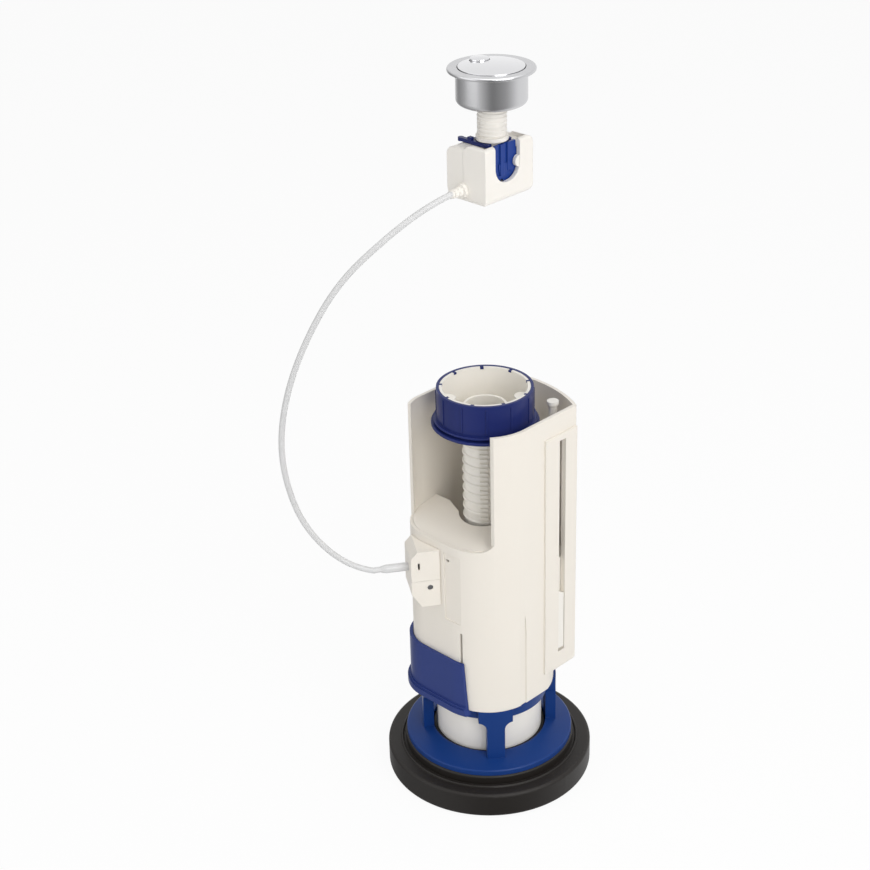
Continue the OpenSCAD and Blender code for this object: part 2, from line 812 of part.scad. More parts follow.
// Cable housing on the tower, with the crank that lifts the valve
module housing_room(v0, v1) {
    at_lever() along_y(v0, v1) polygon([[housing_u0 - past, housing_z0 + housing_wall],
        [housing_u1 - 6 - housing_wall / 2, housing_z0 + housing_wall],
        [housing_u1 - housing_wall, housing_z0 + 9 + housing_wall / 2],
        [housing_u1 - housing_wall, housing_z1 - 4.5 - housing_wall / 2],
        [housing_u1 - 4 - housing_wall / 2, housing_z1 - housing_wall],
        [housing_u0 - past, housing_z1 - housing_wall]]);
}

module cable_housing() {
    color(WHITE) difference() {
        at_lever() along_y(housing_v0, housing_v1) housing_outline();
        housing_room(housing_v0 + housing_wall, housing_v1 - housing_wall);
        at_lever() translate([housing_u0 - past, housing_v1 - housing_wall - fitted, cover_z])
            cube([housing_u1, housing_wall + past, housing_z1]);
        at_lever()
            bar_x(housing_u1 - housing_wall - past, housing_u1 + past, lever_side, cable_z, ferrule_r - 0.5);
        at_lever() bar_y(housing_v0 - past, housing_v1 + past, crank_u, crank_z, pin_r + fitted);
    }
}

module cable_cover() {
    slot_u = housing_u1 - 4.7;
    color(WHITE) difference() {
        intersection() {
            at_lever() along_y(housing_v1 - housing_wall, housing_v1) housing_outline();
            at_lever() translate([housing_u0 - past, housing_v1 - housing_wall - past, cover_z + fitted])
                cube([housing_u1, housing_wall + 2 * past, housing_z1]);
        }
        at_lever() translate([slot_u - 0.6, housing_v1 - housing_wall - past, cable_z + 3])
            cube([1.2, housing_wall + 2 * past, 4.5]);
    }
}

module crank_lever() {
    color(BASE_BLUE) at_lever() difference() {
        translate([crank_u, lever_side, crank_z]) rotate([0, -crank_half, 0]) {
            along_y(-crank_t / 2, crank_t / 2) {
                circle(r = crank_hub_r);
                translate([-finger_l, 0]) circle(r = finger_tip_r);
                translate([-finger_l, -finger_tip_r]) square([finger_l, finger_tip_r]);
                translate([-2.6, 0]) square([5.2, crank_arm]);
                translate([0, crank_arm]) circle(r = nipple_r + 1.1);
            }
        }
        bar_y(lever_side - crank_t, lever_side + crank_t, crank_u, crank_z, pin_r + running);
        translate([crank_u, lever_side, crank_z]) rotate([0, -crank_half, 0]) {
            bar_y(-crank_t, crank_t, 0, crank_arm, nipple_r + fitted / 2);
            translate([0, -wire_r, crank_arm - wire_r]) cube([crank_arm, 2 * wire_r, 2 * wire_r]);
        }
    }
}

module crank_pin() {
    color(STEEL) at_lever() bar_y(housing_v0 + 0.3, housing_v1 - 0.3, crank_u, crank_z, pin_r);
}

module lower_nipple() {
    color(BRASS) at_lever() translate([crank_u, lever_side, crank_z]) rotate([0, -crank_half, 0])
        bar_y(-nipple_l / 2, nipple_l / 2, 0, crank_arm, nipple_r);
}

module cable_ferrule() {
    nose = 3;
    color(SHEATH) at_lever() translate([0, lever_side, cable_z]) rotate([0, 90, 0]) rotate_extrude() {
        translate([wire_r, housing_u1]) square([ferrule_r - wire_r, ferrule_l - nose]);
        polygon([[wire_r, housing_u1 + ferrule_l - nose], [ferrule_r, housing_u1 + ferrule_l - nose],
            [sheath_d / 2 + 0.2, housing_u1 + ferrule_l], [wire_r, housing_u1 + ferrule_l]]);
        translate([wire_r, housing_u1 - housing_wall - 1])
            square([ferrule_r - 0.6 - wire_r, housing_wall + 1]);
    }
}

module cable_sheath() {
    color(SHEATH) swept_tube(smooth_path(route, sheath_steps), sheath_d / 2, sheath_sides, [1, -1, 0]);
}

// Push button
module bezel_cup() {
    color(STEEL) at_button() rotate_extrude($fn = 144) difference() {
        union() {
            soft_rect(stem_r + fitted, cup_z, cup_r, button_z - 1, 0, 3, 0, 0);
            soft_rect(cup_in - 0.1, button_z - flange_t, flange_r, button_z, 0, 0.7, 0.9, 0);
        }
        soft_rect(0, cup_z + cup_wall, cup_in, button_z + past, 0, 2, 0, 0);
    }
}

module full_button() {
    color(STEEL) at_button() difference() {
        intersection() {
            translate([0, 0, skirt_bottom]) cylinder(r = plate_r, h = plate_top - skirt_bottom, $fn = 120);
            translate([0, 0, plate_top - plate_dome]) sphere(r = plate_dome, $fn = 240);
        }
        translate([0, 0, skirt_bottom - past]) cylinder(r = plate_r - 1, h = plate_z - skirt_bottom + past);
        translate([half_x, half_y, plate_z - past])
            cylinder(r = half_r + gap, h = plate_top - plate_z + 2 * past);
    }
}

module half_button() {
    color(STEEL) at_button() translate([half_x, half_y, 0]) {
        intersection() {
            translate([0, 0, skirt_bottom]) cylinder(r = half_r, h = half_top - skirt_bottom);
            translate([0, 0, half_top - half_dome]) sphere(r = half_dome, $fn = 180);
        }
        translate([0, 0, arm_z + arm_t]) cylinder(r = push_r, h = skirt_bottom - arm_z - arm_t);
    }
}

module button_guide() {
    color(WHITE) at_button() difference() {
        translate([0, 0, cup_z + cup_wall + fitted])
            cylinder(r = cup_in - 2, h = guide_top - cup_z - cup_wall - fitted);
        translate([0, 0, cup_z]) cylinder(r = stem_r + fitted, h = cup_h);
        translate([half_x, half_y, cup_z]) cylinder(r = spring_r + spring_wire + gap, h = cup_h);
    }
}

module full_springs() {
    color(STEEL) at_button() for (s = [-1, 1])
        swept_tube(coil_path(spring_x, s * spring_y, guide_top + spring_wire + fitted,
            plate_z - spring_wire - fitted, spring_r, 6), spring_wire, 6, [0, 0, 1]);
}

module half_spring() {
    color(STEEL) at_button() swept_tube(coil_path(half_x, half_y, cup_z + cup_wall + spring_wire + fitted,
        arm_z - spring_wire - fitted, spring_r, 3), spring_wire, 6, [0, 0, 1]);
}

module full_rod() {
    color(WHITE) at_button() translate([-push_x, 0, 0]) {
        translate([0, 0, rod_tip_z + push_r]) sphere(r = push_r);
        translate([0, 0, rod_tip_z + push_r]) cylinder(r = push_r, h = plate_z - rod_tip_z - push_r);
    }
}

module half_rod() {
    side = push_r + 0.6;
    color(WHITE) at_button() {
        translate([push_x, 0, rod_tip_z + push_r]) sphere(r = push_r);
        translate([push_x, 0, rod_tip_z + push_r])
            cylinder(r = push_r, h = arm_z + arm_t - rod_tip_z - push_r);
        along_z(arm_z, arm_z + arm_t) {
            translate([push_x - push_r, 0]) square([2 * push_r, side + 3]);
            translate([half_x, side]) square([push_x - half_x, 3]);
            translate([half_x, half_y]) circle(r = push_r + 1);
        }
    }
}

module threaded_stem() {
    clip_top = clip_z + clip_t;
    color(WHITE) at_button() difference() {
        union() {
            pipe(stem_in, stem_r, stem_z, guide_top);
            pipe(stem_in, stem_r + stem_collar, clip_top + 0.4, clip_top + 0.4 + stem_collar_t);
        }
        pipe(stem_r - stem_groove, stem_r + past, clip_z - 0.2, clip_top + 0.2);
    }
}

module stem_clip() {
    inner = stem_r - stem_groove + 0.2;
    prong = 2.6;
    outer = inner + prong;
    knob_x = case_x0 + 0.5;
    tab_x = -outer;
    color(BASE_BLUE) at_button() {
        along_z(clip_z, clip_z + clip_t) difference() {
            union() {
                soft_rect(-outer, -outer, 6, outer, 3, 1, 1, 3);
                translate([knob_x, -outer]) square([outer, prong]);
                translate([knob_x, -inner - prong / 2]) circle(r = 1.7);
            }
            square([2 * inner, 2 * inner], center = true);
        }
        translate([tab_x, -outer, clip_z]) cube([prong, prong - 0.2, clip_t + 1.6]);
    }
}

// Actuator case
module case_body() {
    side = case_l / 2;
    intersection() {
        along_y(-side, side) {
            soft_rect(case_x0, case_z0, split_x + 3, deck_z + 0.6, 7, 0, 0, 5);
            soft_rect(split_x, case_z0, case_x1, case_z1, 0, 4, 2, 6);
        }
        along_x(case_x0, case_x1) soft_rect(-side, case_z0, side, case_z1, 3, 5, 4, 1.5);
    }
}

module case_room() {
    side = case_l / 2;
    front = -side + case_wall;
    back = side - case_back_wall;
    under = deck_z - deck_t;
    along_x(case_x0 + 3.5, case_x1 - case_wall)
        soft_rect(front, case_z0 + case_wall, back, under, 3, 3, 4, 3);
    translate([case_x0 - past, front, deck_z])
        cube([case_w - case_wall + past, back - front, case_z1 - deck_z + past]);
    translate([0, 0, under - past]) cylinder(r = stem_r + 0.2, h = deck_t + 2 * past);
}

module case_window() {
    along_x(split_x + 6, case_x1 + past)
        soft_rect(window_y0, gland_z + 4, window_y1, case_z1 + past, 9, 9, 0, 0);
}

module case_half(x0, x1) {
    side = case_l / 2;
    at_button() intersection() {
        difference() {
            union() {
                difference() {
                    case_body();
                    case_room();
                    case_window();
                }
                bar_x(case_x1 - case_wall, case_x1 - 0.4, pivot_y, pivot_z, rocker_pin_r + 1.8);
            }
            bar_x(case_x0 + 1, case_x1 - 0.8, pivot_y, pivot_z, rocker_pin_r + fitted / 2);
            bar_y(-side - past, -side + case_wall + past, split_x, gland_z, gland_neck_r + fitted / 2);
        }
        translate([x0, -side - past, case_z0 - past]) cube([x1 - x0, case_l + 2 * past, case_h + 2 * past]);
    }
}

module case_inner() {
    color(WHITE) case_half(case_x0 - past, split_x - fitted / 2);
}

module case_outer() {
    color(WHITE) case_half(split_x + fitted / 2, case_x1 + past);
}

module cable_gland() {
    side = case_l / 2;
    color(WHITE) at_button() difference() {
        union() {
            bar_y(-side - 2.5, -side, split_x, gland_z, gland_r);
            bar_y(-side - gland_l, -side - 2, split_x, gland_z, gland_step_r);
            bar_y(-side - 1, -side + case_wall, split_x, gland_z, gland_neck_r);
        }
        bar_y(-side - gland_l - past, -side + case_wall + 3, split_x, gland_z, wire_r);
    }
}

// A rocker at the middle of its swing, about its pivot: pad arm to -Y
module pad_arm() {
    circle(r = rocker_hub_r);
    translate([-pad_l - 4.4, -1]) square([pad_l + 4.4, pad_t + 1]);
}

module full_rocker() {
    end_r = nipple_r + 1.1;
    color(CAP_BLUE) at_button() translate([0, pivot_y, pivot_z]) rotate([-rocker_half, 0, 0]) difference() {
        along_x(split_x - nipple_l / 2, split_x + nipple_l / 2) {
            pad_arm();
            translate([-2.4, -rocker_arm]) square([4.8, rocker_arm]);
            translate([0, -rocker_arm]) circle(r = end_r);
        }
        bar_x(-20, 20, 0, 0, rocker_pin_r + running);
        bar_x(-20, 20, 0, -rocker_arm, nipple_r + fitted / 2);
        translate([split_x - wire_r, -end_r - past, -rocker_arm - wire_r])
            cube([2 * wire_r, end_r, 2 * wire_r]);
    }
}

module half_rocker() {
    plate_x1 = case_x1 - case_wall - gap;
    plate_x0 = stem_r + gap;
    arm_x1 = 6.2;
    flute_w = 2.4;
    flute_z = pivot_z - 6;
    edge = window_y1 - gap - pivot_y;
    color(CAP_BLUE) at_button() difference() {
        union() {
            translate([0, pivot_y, pivot_z]) rotate([-rocker_half, 0, 0]) along_x(1, arm_x1) pad_arm();
            bar_x(arm_x1 - 0.5, plate_x0 + 0.5, pivot_y, pivot_z, rocker_hub_r - 0.5);
            along_x(plate_x0, plate_x1) intersection() {
                translate([pivot_y, pivot_z]) {
                    circle(r = rocker_disc_r);
                    intersection() {
                        circle(r = quadrant_r);
                        polygon([[edge, quadrant_r], [-quadrant_r, quadrant_r],
                            [-quadrant_r, -quadrant_r * 0.66], [edge, 0]]);
                    }
                }
                translate([-case_l, case_z0]) square([2 * case_l, case_h - 1]);
            }
        }
        bar_x(-20, 20, pivot_y, pivot_z, rocker_pin_r + running);
        for (y = [-5, 0.5]) translate([plate_x1 - 0.8, y - flute_w / 2, flute_z]) cube([2, flute_w, case_h]);
    }
}

module rocker_pin() {
    color(STEEL) at_button() bar_x(case_x0 + 1.2, case_x1 - 1, pivot_y, pivot_z, rocker_pin_r);
}

module upper_nipple() {
    color(BRASS) at_button() translate([0, pivot_y, pivot_z]) rotate([-rocker_half, 0, 0])
        bar_x(split_x - nipple_l / 2, split_x + nipple_l / 2, 0, -rocker_arm, nipple_r);
}

base_seal();
cage();
shroud();
chamber_roof();
float_rod();
half_float();
float_pointer();
volume_slide();
valve_bell();
bell_washer();
washer_retainer();
overflow_tube();
lift_collar();
overflow_cap();
cap_liner();
cable_housing();
cable_cover();
crank_lever();
crank_pin();
lower_nipple();
cable_ferrule();
cable_sheath();
cable_gland();
bezel_cup();
full_button();
half_button();
button_guide();
full_springs();
half_spring();
full_rod();
half_rod();
threaded_stem();
stem_clip();
case_inner();
case_outer();
full_rocker();
half_rocker();
rocker_pin();
upper_nipple();
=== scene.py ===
# %% [markdown]
# # A cable-operated dual flush valve
# This script dresses a finished model: the solids already have their true shapes, sizes and joints. What
# is added here is what solids alone don't carry: the finish of each material, a smooth cable with the
# sleeve at its upper end, the lower face of the blue quadrant, the thread on the button's stem, the
# springs, and the studio in which the valve is seen.
#
# The camera comes first, so that every later choice can be judged in the right view. Then come a few
# helpers for node trees, the finishes, the cable and its sleeve, the quadrant, the helices, and the light
# last.

# %% Start
import math
import bpy
from mathutils import Matrix, Vector


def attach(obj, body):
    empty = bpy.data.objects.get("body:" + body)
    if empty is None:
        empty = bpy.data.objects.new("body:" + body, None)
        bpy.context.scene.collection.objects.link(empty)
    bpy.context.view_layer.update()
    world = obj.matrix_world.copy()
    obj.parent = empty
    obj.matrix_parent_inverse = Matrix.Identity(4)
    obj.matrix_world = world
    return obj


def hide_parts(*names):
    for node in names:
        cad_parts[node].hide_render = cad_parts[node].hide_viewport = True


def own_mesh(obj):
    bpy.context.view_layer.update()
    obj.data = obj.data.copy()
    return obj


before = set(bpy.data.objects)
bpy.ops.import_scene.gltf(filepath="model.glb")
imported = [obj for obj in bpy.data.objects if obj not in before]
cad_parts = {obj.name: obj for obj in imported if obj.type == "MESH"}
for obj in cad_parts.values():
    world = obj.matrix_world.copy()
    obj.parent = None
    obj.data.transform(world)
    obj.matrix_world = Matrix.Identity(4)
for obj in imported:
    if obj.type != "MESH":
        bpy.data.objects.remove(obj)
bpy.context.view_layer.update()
MM = 0.001

# %% [markdown]
# ## The camera
# The photograph was taken from a little above, about 27 degrees down, and the camera was rolled by a
# degree and a half. These values come from fitting circles of the base, cap and button to their outlines
# in the picture. A long lens keeps the upright edges nearly parallel, which is how such catalogue
# pictures are taken.

# %% Camera
HEADING = math.radians(45)
PITCH = math.radians(27.448)
ROLL = math.radians(-1.542)
EYE = Vector((657.6, -699.3, 729.1)) * MM
LENS = 76.55
SENSOR = 36


def make_camera():
    """A camera at the photograph's place, with its lens and its roll."""
    data = bpy.data.cameras.new("photo_camera")
    data.lens = LENS
    data.sensor_width = SENSOR
    data.sensor_fit = "HORIZONTAL"
    data.clip_start = 0.01
    data.clip_end = 100
    camera = bpy.data.objects.new("photo_camera", data)
    turn = Matrix.Rotation(HEADING, 4, "Z") @ Matrix.Rotation(math.pi / 2 - PITCH, 4, "X")
    camera.matrix_world = Matrix.Translation(EYE) @ turn @ Matrix.Rotation(ROLL, 4, "Z")
    bpy.context.collection.objects.link(camera)
    bpy.context.scene.camera = camera


make_camera()
print("camera:", LENS, "mm at", [round(x, 3) for x in EYE])

# %% [markdown]
# ## Small helpers for node trees
# Colours are written as the hex values that a picture editor shows. Blender works in linear light, so one
# function turns one into the other. Another adds a node and sets its inputs by name, which keeps each
# material short enough to read in one look. The last one runs a geometry tree and keeps what it made as a
# plain mesh.


# %% Helpers
def linear(code):
    """A hex colour as linear red, green, blue and alpha."""
    parts = [int(code[i:i + 2], 16) / 255 for i in (1, 3, 5)]
    return [c / 12.92 if c <= 0.04045 else ((c + 0.055) / 1.055) ** 2.4 for c in parts] + [1.0]


def add(tree, kind, values=None, **settings):
    """Add a node, set its own settings, then the values of its inputs by name."""
    node = tree.nodes.new(kind)
    for name, value in settings.items():
        setattr(node, name, value)
    for name, value in (values or {}).items():
        node.inputs[name].default_value = value
    return node


def chain(tree, *steps):
    """Join nodes one after another by their first sockets, and the last one to the tree's output."""
    for first, second in zip(steps, steps[1:]):
        tree.links.new(first.outputs[0], second.inputs[0])
    tree.links.new(steps[-1].outputs[0], add(tree, "NodeGroupOutput").inputs[0])


def new_tree(name):
    """An empty geometry tree with a geometry input and a geometry output."""
    tree = bpy.data.node_groups.new(name, "GeometryNodeTree")
    for way in ("INPUT", "OUTPUT"):
        tree.interface.new_socket("Geometry", in_out=way, socket_type="NodeSocketGeometry")
    return tree


def number_input(tree, name, value):
    """A named number that a geometry tree takes, with its first value."""
    socket = tree.interface.new_socket(name, in_out="INPUT", socket_type="NodeSocketFloat")
    socket.default_value = value


def grow(name, tree, body, sizes, points):
    """Run a geometry tree on a line of points and keep its result as a plain mesh that rides on a body."""
    start = bpy.data.meshes.new(name + "_maker")
    start.from_pydata(points, [(i, i + 1) for i in range(len(points) - 1)], [])
    holder = bpy.data.objects.new(name + "_maker", start)
    bpy.context.collection.objects.link(holder)
    modifier = holder.modifiers.new("make", "NODES")
    modifier.node_group = tree
    for item in tree.interface.items_tree:
        if item.in_out == "INPUT" and item.name in sizes:
            modifier[item.identifier] = sizes[item.name]
    bpy.context.view_layer.update()
    mesh = bpy.data.meshes.new_from_object(holder.evaluated_get(bpy.context.evaluated_depsgraph_get()))
    bpy.data.objects.remove(holder)
    piece = bpy.data.objects.new(name, mesh)
    bpy.context.collection.objects.link(piece)
    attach(piece, body)
    print(name, "has", len(mesh.polygons), "faces")
    return piece


# %% [markdown]
# ## Finishes
# Most white and blue pieces are injection-moulded polypropylene: a little waxy, with light going a short
# way in and a broad, soft highlight. Their mould was spark-eroded, so a fine grain breaks the highlight
# up. The real grain is far too fine for the picture, so it is drawn coarse enough to show. Every moulded
# edge has a small radius; a bevel in the shader gives the edges that thin line of light without heavier
# meshes.
#
# The button's cup was brushed while it turned. Its scratches are circles about the cup's axis, so the
# texture is fed with the distance from the axis and the height: rings on the flange, level lines on the
# side. They too are drawn wider apart than real ones.


# %% Makers of finishes
EDGE = 0.35 * MM
BUTTON = Vector((4, 4, 0)) * MM


def surface(name, colour, roughness, grain_mm=0.0, grain_depth=0.0, edge=EDGE, values=None):
    """A material with a rounded-edge normal and an optional fine grain, measured in millimetres."""
    material = bpy.data.materials.new(name)
    material.use_nodes = True
    tree = material.node_tree
    shader = tree.nodes["Principled BSDF"]
    shader.inputs["Base Color"].default_value = linear(colour)
    shader.inputs["Roughness"].default_value = roughness
    for key, value in (values or {}).items():
        shader.inputs[key].default_value = value
    normal = None
    if edge:
        normal = add(tree, "ShaderNodeBevel", {"Radius": edge}, samples=4).outputs["Normal"]
    if grain_mm:
        place = add(tree, "ShaderNodeTexCoord")
        normal = bump(tree, place.outputs["Object"], grain_mm, grain_depth, normal)
    if normal:
        tree.links.new(normal, shader.inputs["Normal"])
    return material


def bump(tree, place, grain_mm, depth_mm, normal=None):
    """Fine noise as a bump, with its grain and depth in millimetres."""
    grain = add(tree, "ShaderNodeTexNoise", {"Scale": 1 / (grain_mm * MM), "Detail": 2.0})
    raised = add(tree, "ShaderNodeBump", {"Strength": 0.5, "Distance": depth_mm * MM})
    tree.links.new(place, grain.inputs["Vector"])
    tree.links.new(grain.outputs["Fac"], raised.inputs["Height"])
    if normal:
        tree.links.new(normal, raised.inputs["Normal"])
    return raised.outputs["Normal"]


def brushed(name, colour, roughness, line_mm, depth_mm):
    """A metal brushed while it turned about the button's axis."""
    material = surface(name, colour, roughness, values={"Metallic": 1.0, "Anisotropic": 0.5})
    tree = material.node_tree
    shader = tree.nodes["Principled BSDF"]
    place = add(tree, "ShaderNodeTexCoord")
    centred = add(tree, "ShaderNodeVectorMath", operation="SUBTRACT")
    centred.inputs[1].default_value = BUTTON
    level = add(tree, "ShaderNodeVectorMath", operation="MULTIPLY")
    level.inputs[1].default_value = (1, 1, 0)
    reach = add(tree, "ShaderNodeVectorMath", operation="LENGTH")
    parts = add(tree, "ShaderNodeSeparateXYZ")
    ring = add(tree, "ShaderNodeCombineXYZ")
    tree.links.new(place.outputs["Object"], centred.inputs[0])
    tree.links.new(centred.outputs["Vector"], level.inputs[0])
    tree.links.new(level.outputs["Vector"], reach.inputs[0])
    tree.links.new(centred.outputs["Vector"], parts.inputs["Vector"])
    tree.links.new(reach.outputs["Value"], ring.inputs["X"])
    tree.links.new(parts.outputs["Z"], ring.inputs["Y"])
    rounded = shader.inputs["Normal"].links[0].from_socket
    tree.links.new(bump(tree, ring.outputs["Vector"], line_mm, depth_mm, rounded), shader.inputs["Normal"])
    turn = add(tree, "ShaderNodeTangent", direction_type="RADIAL", axis="Z")
    tree.links.new(turn.outputs["Tangent"], shader.inputs["Tangent"])
    return material


def soft(weight, radius_mm, gloss=0.5):
    """Values that let light go a short way into a plastic."""
    return {"Subsurface Weight": weight, "Subsurface Radius": (1, 1, 1), "Subsurface Scale": radius_mm * MM,
            "IOR": 1.49, "Specular IOR Level": gloss}


# %% Plastic, rubber and metal
GRAIN = 0.7
GRAIN_DEEP = 0.02
GRAIN_FLAT = 0.015
METAL = {"Metallic": 1.0}

# Moulded polypropylene, white or natural: warm white, waxy, with a broad highlight
white = surface("white_polypropylene", "#efe9df", 0.42, GRAIN, GRAIN_DEEP, values=soft(0.12, 2.0))
pale = surface("natural_polypropylene", "#f4f0e8", 0.38, GRAIN, GRAIN_DEEP, values=soft(0.2, 3.0))
# Acetal is denser and slicker: a whiter white with a sharper highlight
case_white = surface("white_acetal", "#f4f0e9", 0.32, GRAIN, GRAIN_FLAT, values=soft(0.12, 2.0))
# Blue pigment stops the light near the surface, so the blues look flat and keep a low sheen
cap_blue = surface("dark_blue_polypropylene", "#1e2a68", 0.3, GRAIN, GRAIN_FLAT,
                   values=soft(0.05, 1.0, 0.25))
base_blue = surface("blue_polypropylene", "#12397c", 0.36, GRAIN, GRAIN_FLAT, values=soft(0.05, 1.0, 0.25))
slide_blue = surface("satin_blue_polypropylene", "#2a3c7c", 0.34, GRAIN, GRAIN_FLAT,
                     values=soft(0.05, 1.0, 0.25))
rocker_blue = surface("royal_blue_acetal", "#173a8a", 0.28, GRAIN, GRAIN_FLAT, values=soft(0.05, 1.0, 0.3))
# Moulded rubber filled with soot: a warm black, dull, with a coarser grain
rubber = surface("black_nitrile_rubber", "#1d1916", 0.5, 1.2, 0.04, values={"Specular IOR Level": 0.35})
# Bright plate mirrors the room; brushed plate draws each light out into a streak
chrome = surface("bright_chrome_plate", "#e8e8ea", 0.12, values=METAL)
cup_metal = brushed("brushed_chrome_plate", "#cfcfd1", 0.24, 0.25, 0.006)
# Drawn wire and drawn brass are satin
steel = surface("spring_steel", "#a9a9ac", 0.3, values=METAL)
brass = surface("drawn_brass", "#b8924a", 0.35, values=METAL)
# Extruded sheath: a cooler white than the mouldings, and smooth; its colour is made greyer as painted
# shade, for the darker look that the light gives the thin cable
sheath_white_painted_shade = surface("white_pvc_sheath", "#d9d9d9", 0.35, edge=0.0, values=soft(0.1, 1.0))

FINISH = {
    "shroud": white, "chamber_roof": white, "cable_housing": white, "cable_cover": white,
    "float_rod": pale, "half_float": pale, "float_pointer": pale, "valve_bell": pale,
    "washer_retainer": pale, "overflow_tube": pale, "lift_collar": pale, "cap_liner": pale,
    "button_guide": case_white, "full_rod": case_white, "half_rod": case_white, "threaded_stem": case_white,
    "case_inner": case_white, "case_outer": case_white, "cable_gland": case_white,
    "cage": base_blue, "volume_slide": slide_blue, "crank_lever": base_blue,
    "overflow_cap": cap_blue, "stem_clip": cap_blue, "full_rocker": rocker_blue, "half_rocker": rocker_blue,
    "base_seal": rubber, "bell_washer": rubber,
    "full_button": chrome, "half_button": chrome, "bezel_cup": cup_metal,
    "crank_pin": steel, "rocker_pin": steel, "full_springs": steel, "half_spring": steel,
    "lower_nipple": brass, "upper_nipple": brass,
    "cable_sheath": sheath_white_painted_shade, "cable_ferrule": sheath_white_painted_shade,
}
for node_name, finish in FINISH.items():
    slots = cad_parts[node_name].data.materials
    slots.clear()
    slots.append(finish)
print("finished nodes:", len(FINISH), "left plain:", sorted(set(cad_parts) - set(FINISH)))

# %% [markdown]
# ## The cable
# A control cable is a steel wire in a stiff plastic sheath. It leaves the actuator straight, bows out
# under its own stiffness, and comes back straight into the ferrule on the tower. The route is a short
# list of places read off the picture, in whole millimetres between its two straight ends. A smooth curve
# through them still waves a little, so it is relaxed as the stiffness would do it. A geometry tree sweeps
# a circle along the curve, so the sheath's thickness is one number.

# %% Cable
GLAND = Vector((0, -20.5, 385))
LEVER = math.radians(-125)
LEVER_SIDE = 11
CABLE_Z = 153.5
FERRULE_END = 66.5
SHEATH_R = 1.75
CURVE_STEPS = 6
HELD_POINTS = 10
RELAX_ROUNDS = 40


def lever_point(reach):
    """A place on the cable's line at the tower."""
    return (reach * math.cos(LEVER) - LEVER_SIDE * math.sin(LEVER),
            reach * math.sin(LEVER) + LEVER_SIDE * math.cos(LEVER), CABLE_Z)


ROUTE = [GLAND - Vector((0, out, 0)) for out in (0, 3, 7.5)]
ROUTE += [(-7, -40, 379), (-13, -51, 371), (-18, -59, 364), (-24, -66, 356), (-31, -73, 347),
          (-39, -81, 333), (-45, -88, 317), (-51, -94, 300), (-56, -99, 282), (-60, -102, 263),
          (-61, -104, 248), (-62, -104, 233), (-61, -102, 217), (-60, -99, 203), (-57, -95, 188),
          (-51, -88, 174), (-45, -80, 163), (-39, -72, 156)]
ROUTE += [lever_point(FERRULE_END + out) for out in (6, 3, 0)]


def smooth(points, steps):
    """A curve that passes through every point, with even tension."""
    out = []
    for i in range(len(points) - 1):
        a, b, c, d = (points[max(0, min(len(points) - 1, i + k))] for k in (-1, 0, 1, 2))
        for k in range(steps):
            t = k / steps
            out.append(0.5 * (2 * b + (c - a) * t + (2 * a - 5 * b + 4 * c - d) * t ** 2
                              + (3 * b - a - 3 * c + d) * t ** 3))
    return out + [points[-1]]


def relax(points, held, rounds):
    """Even out small waves, as a stiff sheath does, and leave the held points at both ends in place."""
    for _ in range(rounds):
        middle = [(points[i - 1] + 2 * points[i] + points[i + 1]) / 4
                  for i in range(held, len(points) - held)]
        points = points[:held] + middle + points[-held:]
    return points


def sweep_tree(name, material, radius):
    """A round bar swept along the line of points that the tree is given."""
    tree = new_tree(name)
    number_input(tree, "Radius", radius)
    into = add(tree, "NodeGroupInput")
    section = add(tree, "GeometryNodeCurvePrimitiveCircle", {"Resolution": 24})
    sweep = add(tree, "GeometryNodeCurveToMesh", {"Fill Caps": True})
    tree.links.new(into.outputs["Radius"], section.inputs["Radius"])
    tree.links.new(section.outputs["Curve"], sweep.inputs["Profile Curve"])
    chain(tree, into, add(tree, "GeometryNodeMeshToCurve"), sweep, add(tree, "GeometryNodeSetShadeSmooth"),
          add(tree, "GeometryNodeRealizeInstances"),
          add(tree, "GeometryNodeSetMaterial", {"Material": material}))
    return tree


def bar(name, material, radius, points):
    """A round bar along points in metres, fixed to the frame."""
    tree = sweep_tree(name + "_sweep", material, radius)
    return grow(name, tree, "frame", {"Radius": radius}, points)


path = relax(smooth([Vector(p) * MM for p in ROUTE], CURVE_STEPS), HELD_POINTS, RELAX_ROUNDS)
cable = bar("cable", sheath_white_painted_shade, SHEATH_R * MM, path)
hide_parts("cable_sheath")

# %% [markdown]
# ## The sleeve at the cable's upper end
# Where the sheath comes out of the actuator, a stepped sleeve keeps it from kinking. Each step is the
# same sweep as the cable, with a wider circle and only two places. The first step is the widest and the
# next one is slimmer, so the bend spreads over the whole sleeve.

# %% Sleeve
# Start and end of each step, along the cable from the gland's tip, and its radius
SLEEVE = [(-0.5, 2.9, 2.5), (2.5, 5.0, 2.15)]

for number, (start, end, radius) in enumerate(SLEEVE, 1):
    line = [(GLAND - Vector((0, out, 0))) * MM for out in (start, end)]
    bar(f"cable_sleeve_{number}", case_white, radius * MM, line)

# %% [markdown]
# ## The quadrant's lower face
# In the picture the blue quadrant fills the whole window of the actuator's case. Its lower part is a flat
# sector about the rocker's pin. It turns with the rocker, so it is as long as the swing needs and no
# longer: at the end of a press its edge still clears the back of the case. One flat shape with a
# thickness is quickest to write as a list of corners.

# %% Quadrant
PIN = Vector((0, 12.6, 398.083))
SECTOR = {"x": (12.2, 13.4), "radius": 13.6, "from": 178, "to": 275, "steps": 32}


